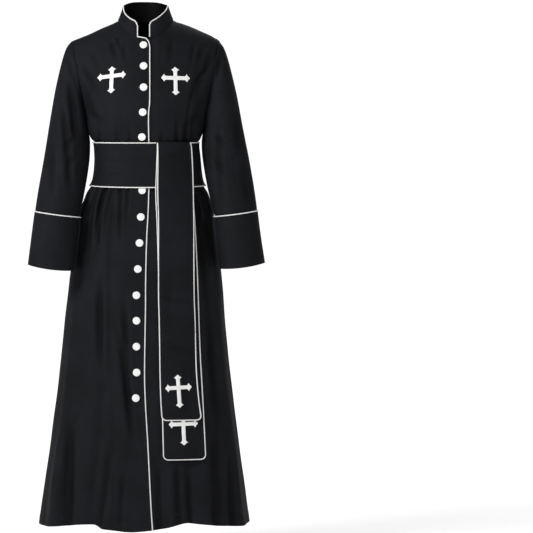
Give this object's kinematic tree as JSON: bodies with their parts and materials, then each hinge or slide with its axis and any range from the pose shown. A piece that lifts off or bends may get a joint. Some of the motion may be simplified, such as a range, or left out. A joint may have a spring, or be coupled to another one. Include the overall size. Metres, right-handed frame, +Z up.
{
  "type": "cassock",
  "caption": "Full-length black cassock, hollow as worn, with white piping, a buttoned front, deep cuffs, and a waist cincture with two hanging falls bearing crosses.",
  "frame": {"origin": "on the shoulder line, midway between the shoulders, where the wearer holds the garment up", "axes": "+Z up, +X towards the wearer's left, the front of the garment faces -Y"},
  "size_m": [0.6392, 0.3908, 1.4303],
  "materials": {
    "black_twill": "matte black polyester twill, pressed, with a faint sheen",
    "white_piping": "white corded piping, satin weave",
    "white_applique": "white embroidered applique, raised satin stitch",
    "white_button": "white pearly moulded button, slightly domed"
  },
  "bodies": {
    "root": {"back_left_bodice": "black_twill", "back_right_bodice": "black_twill", "button_cuff_left_1": "white_button", "button_cuff_left_2": "white_button", "button_cuff_left_3": "white_button", "button_cuff_right_1": "white_button", "button_cuff_right_2": "white_button", "button_cuff_right_3": "white_button", "button_front_01": "white_button", "button_front_02": "white_button", "button_front_03": "white_button", "button_front_04": "white_button", "button_front_05": "white_button", "button_front_06": "white_button", "button_front_07": "white_button", "button_front_08": "white_button", "button_front_09": "white_button", "button_front_10": "white_button", "button_front_11": "white_button", "button_front_12": "white_button", "button_front_13": "white_button", "button_front_14": "white_button", "button_front_15": "white_button", "cincture_band": "black_twill", "collar": "black_twill", "cross_chest_left": "white_applique", "cross_chest_right": "white_applique", "cross_fall_front": "white_applique", "cross_fall_rear": "white_applique", "cuff_left": "black_twill", "cuff_right": "black_twill", "fall_front": "black_twill", "fall_rear": "black_twill", "front_left_bodice": "black_twill", "front_right_bodice": "black_twill", "piping_band_bottom": "white_piping", "piping_band_end": "white_piping", "piping_band_top": "white_piping", "piping_collar_left": "white_piping", "piping_collar_right": "white_piping", "piping_cuff_left": "white_piping", "piping_cuff_right": "white_piping", "piping_fall_front": "white_piping", "piping_fall_rear": "white_piping", "piping_front_edge": "white_piping", "skirt_back_left": "black_twill", "skirt_back_right": "black_twill", "skirt_front_left": "black_twill", "skirt_front_right": "black_twill", "sleeve_left": "black_twill", "sleeve_right": "black_twill"}
  },
  "joints": []
}
